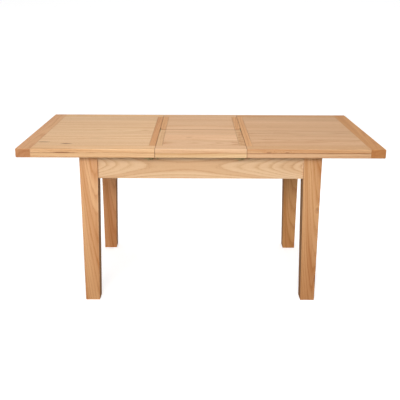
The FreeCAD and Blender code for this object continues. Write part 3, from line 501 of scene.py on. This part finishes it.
def dress_tops():
    for i, side in enumerate(("left_top", "right_top")):
        seam = (SEAM, STRONG_SEAM)[i]
        rail, strip = albedo(side + "_rail"), albedo(side + "_strip")
        band, board = albedo(side + "_inner_band"), albedo(side + "_end_board")
        rail_lines = seam + LEAF_JOINTS + BORDER
        wood(side + "_panel", "X", albedo(side + "_panel"), 11 + i, pith=((0.05, -0.09), (-0.04, -0.10))[i],
             staves=6, streaky=(0.26, 0.36)[i], knots=(LEFT_KNOTS, RIGHT_KNOTS)[i], lines=BORDER + TOP_EDGES)
        wood(side + "_front_rail", "X", rail, 21 + i, pith=(-0.04, -0.07), lines=rail_lines,
             knots=(EDGE_STREAK, EDGE_SPOTS)[i])
        wood(side + "_back_rail", "X", rail, 31 + i, pith=(0.06, -0.08), lines=rail_lines,
             knots=(BACK_STREAK, ())[i])
        wood(side + "_front_strip", "X", strip, 41 + i, pith=(0.05, -0.03), lines=seam + LEAF_JOINTS,
             knots=(EDGE_STREAK, EDGE_SPOTS)[i])
        wood(side + "_back_strip", "X", strip, 51 + i, pith=(0.05, -0.03), lines=seam + LEAF_JOINTS)
        wood(side + "_inner_band", "Y", band, 61 + i, pith=(0.03, -0.05), lines=LEAF_JOINTS + TOP_EDGES)
        wood(side + "_end_board", "Y", board, 71 + i, pith=(0.02, -0.06), arris=0.2)


def dress_leaf():
    for i, half in enumerate(("front_leaf", "back_leaf")):
        split = (FRONT_SPLIT, BACK_SPLIT)[i]
        rail, strip, band = (albedo(half + part) for part in ("_rail", "_strip", "_band"))
        band_lines = LEAF_JOINTS + split + LEAF_EDGES
        wood(half + "_panel", "X", albedo(half + "_panel"), 13 + i, pith=((0.02, -0.09), (0.03, -0.12))[i],
             staves=3, lines=split + BORDER + LEAF_EDGES, knots=(LEAF_KNOT, ())[i])
        wood(half + "_rail", "X", rail, 101 + i, pith=(-0.05, -0.08), lines=LEAF_JOINTS + BORDER + SEAM)
        wood(half + "_strip", "X", strip, 111 + i, pith=(0.05, -0.03), lines=LEAF_JOINTS + SEAM)
        wood(half + "_left_band", "Y", band, 121 + i, pith=(0.03, -0.05), mottle=0.2, lines=band_lines)
        wood(half + "_right_band", "Y", band, 131 + i, pith=(0.03, -0.05), mottle=(0.7, 0.3)[i],
             lines=band_lines)


def dress_base():
    for i, side in enumerate(("front", "back")):
        wood(side + "_apron", "X", albedo("apron"), 141 + i, pith=((0.09, -0.09)[i], 0.004), ring=0.0068,
             tilt=(0.010, 0.004), bow=(0.18, -0.18)[i], figure=1.25, streaky=0.15, lines=UNDER_TOP)
    for i, side in enumerate(("left", "right")):
        wood(side + "_apron", "Y", albedo("apron"), 143 + i, pith=(0.05, (-0.03, 0.03)[i]), lines=UNDER_TOP)
    for i, leg in enumerate(("leg_front_left", "leg_front_right", "leg_back_left", "leg_back_right")):
        marked = leg == "leg_front_right"
        wood(leg, "Z", albedo(leg), 151 + i, pith=(0.04, 0.07), ring=0.0052, tilt=(0.03, 0.05), figure=1.35,
             lines=UNDER_TOP, foot=DARK_FOOT if marked else FOOT, knots=LEG_KNOTS if marked else ())


def dress_hidden():
    """The pieces below and inside: plain hardwood, left rough."""
    runners = [side + end + "_runner" for side in ("left_top", "right_top") for end in ("_front", "_back")]
    along_x = runners + ["front_slide_rail", "back_slide_rail"]
    along_y = ["corner_blocks", "cross_bearers", "leaf_rest_blocks"]
    for i, piece in enumerate(along_x + along_y):
        grain = "X" if piece in along_x else "Y"
        wood(piece, grain, albedo("hidden"), 161 + i, pith=(0.2, -0.1), rough=0.7, pores=0.5)


BRASS, BRASS_DARK = (0.50, 0.40, 0.20), (0.27, 0.20, 0.09)
ZINC, ZINC_DARK = (0.62, 0.63, 0.62), (0.40, 0.40, 0.39)
BRASS_WORDS = ("strap", "link", "_lock_", "keeper")
ZINC_NODES = (
    "corner_bolts", "corner_nuts", "frame_screws", "leaf_pivot_plates", "pivot_brackets", "pivot_pins",
)


def dress_fittings():
    brass_nodes = sorted(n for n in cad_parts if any(word in n for word in BRASS_WORDS))
    for i, piece in enumerate(brass_nodes):
        metal(piece, BRASS, BRASS_DARK, 0.42, 201 + i)
    for i, piece in enumerate(ZINC_NODES):
        metal(piece, ZINC, ZINC_DARK, 0.36, 231 + i)


# ---------------------------------------------------------------- studio
SWEEP_GLOW, SKY_BELOW, SKY_ABOVE, SKY_BLEND = 0.52, 0.15, 0.60, 0.3
KEY_POWER, TOP_POWER = 29.5, 23.5


def area_light(name, place, target, size, power, spread=180.0):
    data = bpy.data.lights.new(name, "AREA")
    data.shape = "RECTANGLE"
    data.size, data.size_y = size
    data.energy = power
    data.spread = math.radians(spread)
    lamp = bpy.data.objects.new(name, data)
    lamp.location = place
    lamp.rotation_mode = "QUATERNION"
    lamp.rotation_quaternion = (Vector(target) - Vector(place)).to_track_quat("-Z", "Y")
    bpy.context.scene.collection.objects.link(lamp)


def make_sweep():
    """A pale floor that curves up into a wall. It doesn't light the table."""
    reach, back, bend, tall = 40.0, 9.0, 4.0, 30.0
    line = [(-reach, 0.0)]
    for step in range(13):
        turn = math.radians(90 * step / 12)
        line.append((back + bend * math.sin(turn), bend - bend * math.cos(turn)))
    line.append((back + bend, tall))
    corners = [(x, y, z) for y, z in line for x in (-reach, reach)]
    faces = [(2 * i, 2 * i + 1, 2 * i + 3, 2 * i + 2) for i in range(len(line) - 1)]
    mesh = bpy.data.meshes.new("studio_sweep")
    mesh.from_pydata(corners, [], faces)
    sweep = bpy.data.objects.new("studio_sweep", mesh)
    bpy.context.scene.collection.objects.link(sweep)
    sweep.visible_diffuse = False
    sweep.visible_glossy = False
    t = Tree("studio_sweep")
    t.shader.inputs["Base Color"].default_value = (0.90, 0.90, 0.90, 1.0)
    t.shader.inputs["Roughness"].default_value = 0.9
    t.shader.inputs["Emission Color"].default_value = (1.0, 1.0, 1.0, 1.0)
    t.shader.inputs["Emission Strength"].default_value = SWEEP_GLOW
    mesh.materials.append(t.material)


def make_sky():
    """An even sky. Its dimmer lower half stands for the light that a floor throws back."""
    world = bpy.data.worlds.new("studio")
    world.use_nodes = True
    nodes, links = world.node_tree.nodes, world.node_tree.links
    facing = nodes.new("ShaderNodeSeparateXYZ")
    blend = nodes.new("ShaderNodeMapRange")
    for socket, number in zip(blend.inputs[1:5], (-SKY_BLEND, SKY_BLEND, SKY_BELOW, SKY_ABOVE)):
        socket.default_value = number
    links.new(nodes.new("ShaderNodeTexCoord").outputs["Generated"], facing.inputs[0])
    links.new(facing.outputs["Z"], blend.inputs["Value"])
    links.new(blend.outputs["Result"], nodes["Background"].inputs["Strength"])
    nodes["Background"].inputs["Color"].default_value = (1.0, 1.0, 1.0, 1.0)
    bpy.context.scene.world = world


def make_studio():
    """The sweep and the sky, with a soft frontal key and a soft overhead light."""
    make_sweep()
    make_sky()
    area_light("key", place=(-0.40, -3.8, 1.85), target=(-0.05, -0.4, 0.74), size=(3.2, 1.3),
               power=KEY_POWER, spread=75.0)
    area_light("overhead", place=(-0.15, 0.0, 3.2), target=(-0.05, 0.0, 0.0), size=(2.6, 1.6),
               power=TOP_POWER)
    bpy.context.scene.view_settings.view_transform = "Standard"


dress_tops()
dress_leaf()
dress_base()
dress_hidden()
dress_fittings()
make_camera()
make_studio()
